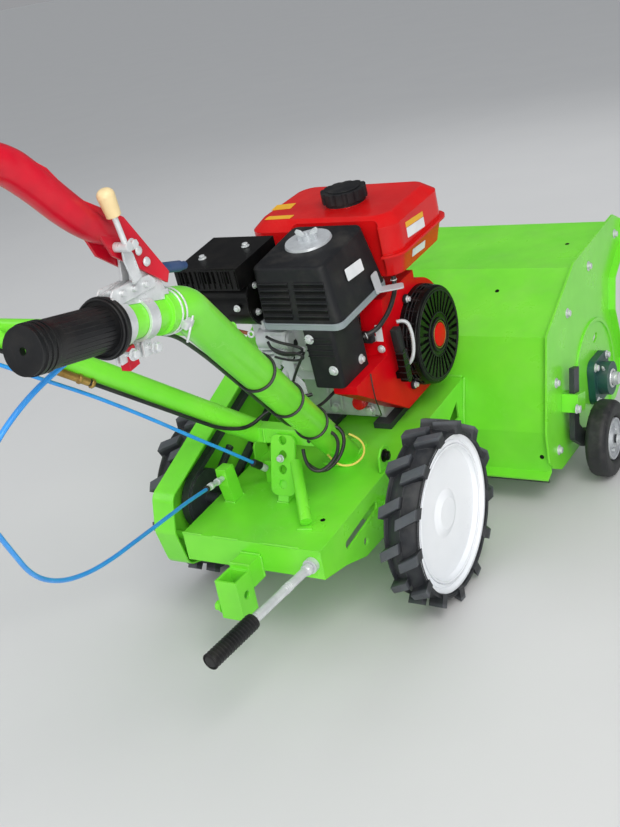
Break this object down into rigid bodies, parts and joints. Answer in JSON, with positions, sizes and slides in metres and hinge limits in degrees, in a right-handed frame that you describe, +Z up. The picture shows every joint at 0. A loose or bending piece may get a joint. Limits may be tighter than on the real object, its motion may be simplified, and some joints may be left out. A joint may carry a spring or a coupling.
{
  "type": "walk-behind power weeder with flail deck",
  "caption": "Walk-behind power weeder: a petrol engine over two lugged drive wheels, a wide flail deck in front on gauge wheels, and long raised handlebars behind.",
  "frame": {"origin": "centre of the whole machine's footprint, at ground height", "axes": "+Y forward (towards the flail deck), +X to the machine's right, +Z up"},
  "size_m": [0.756, 1.6086, 0.914],
  "materials": {
    "black_gloss": "gloss",
    "black_paint": "gloss",
    "black_plastic": "matte",
    "cable_black": "satin",
    "cable_blue": "gloss",
    "cast_alloy": "satin",
    "cream_plastic": "gloss",
    "dark_steel": "satin",
    "flap_rubber": "matte",
    "green_paint": "gloss",
    "grey_gasket": "matte",
    "grip_rubber": "satin",
    "hub_silver": "satin",
    "lever_red": "gloss",
    "nut_silver": "satin",
    "red_paint": "gloss",
    "rim_white": "gloss",
    "teal_cast": "gloss",
    "tyre_rubber": "matte",
    "zinc": "satin"
  },
  "bodies": {
    "frame": {"air_cleaner_base": "grey_gasket", "air_cleaner_cover": "black_plastic", "air_cleaner_nut": "nut_silver", "bearing_left": "teal_cast", "bearing_right": "teal_cast", "belt_drive": "dark_steel", "belt_guard": "green_paint", "blower_shroud": "red_paint", "blue_cable_left": "cable_blue", "blue_cable_right": "cable_blue", "cable_ferrules": "zinc", "cable_lugs": "green_paint", "carb_cover": "black_plastic", "chassis": "green_paint", "deck_hood": "green_paint", "deck_side_left": "green_paint", "deck_side_right": "green_paint", "engine_block": "cast_alloy", "engine_rails": "dark_steel", "engine_switch": "lever_red", "fuel_cap": "black_plastic", "fuel_hose": "cable_black", "fuel_tank": "red_paint", "gauge_arm_left": "dark_steel", "gauge_arm_right": "dark_steel", "gauge_clamp_left": "green_paint", "gauge_clamp_right": "green_paint", "gearbox": "green_paint", "grip_left": "grip_rubber", "grip_right": "grip_rubber", "handlebar": "green_paint", "height_plate": "green_paint", "hitch_socket": "green_paint", "lever_bracket_left": "zinc", "lever_bracket_right": "zinc", "lever_knob": "cream_plastic", "lever_left": "lever_red", "lever_right": "lever_red", "lever_rod": "zinc", "muffler": "black_paint", "rear_flap": "flap_rubber", "recoil_cover": "black_gloss", "recoil_handle": "black_gloss", "rotor_drive_case": "green_paint", "shift_grip": "grip_rubber", "shift_rod": "zinc", "switch_wire": "cable_black", "throttle_cable": "cable_black"},
    "rotor": {"flail_rotor": "dark_steel"},
    "gauge_left": {"gauge_hub_left": "hub_silver", "gauge_tyre_left": "tyre_rubber"},
    "gauge_right": {"gauge_hub_right": "hub_silver", "gauge_tyre_right": "tyre_rubber"},
    "wheel_left": {"rim_left": "rim_white", "tyre_left": "tyre_rubber"},
    "wheel_right": {"rim_right": "rim_white", "tyre_right": "tyre_rubber"}
  },
  "joints": [
    {"name": "drive_wheel_right", "type": "hinge", "parent": "frame", "child": "wheel_right", "pos_m": [0.223, -0.031, 0.15], "axis": [1, 0, 0], "continuous": true},
    {"name": "drive_wheel_left", "type": "hinge", "parent": "frame", "child": "wheel_left", "pos_m": [-0.223, -0.031, 0.15], "axis": [1, 0, 0], "continuous": true},
    {"name": "flail_spin", "type": "hinge", "parent": "frame", "child": "rotor", "pos_m": [0, 0.552, 0.14], "axis": [1, 0, 0], "continuous": true},
    {"name": "gauge_wheel_right", "type": "hinge", "parent": "frame", "child": "gauge_right", "pos_m": [0.352, 0.424, 0.073], "axis": [1, 0, 0], "continuous": true},
    {"name": "gauge_wheel_left", "type": "hinge", "parent": "frame", "child": "gauge_left", "pos_m": [-0.352, 0.424, 0.073], "axis": [1, 0, 0], "continuous": true}
  ]
}
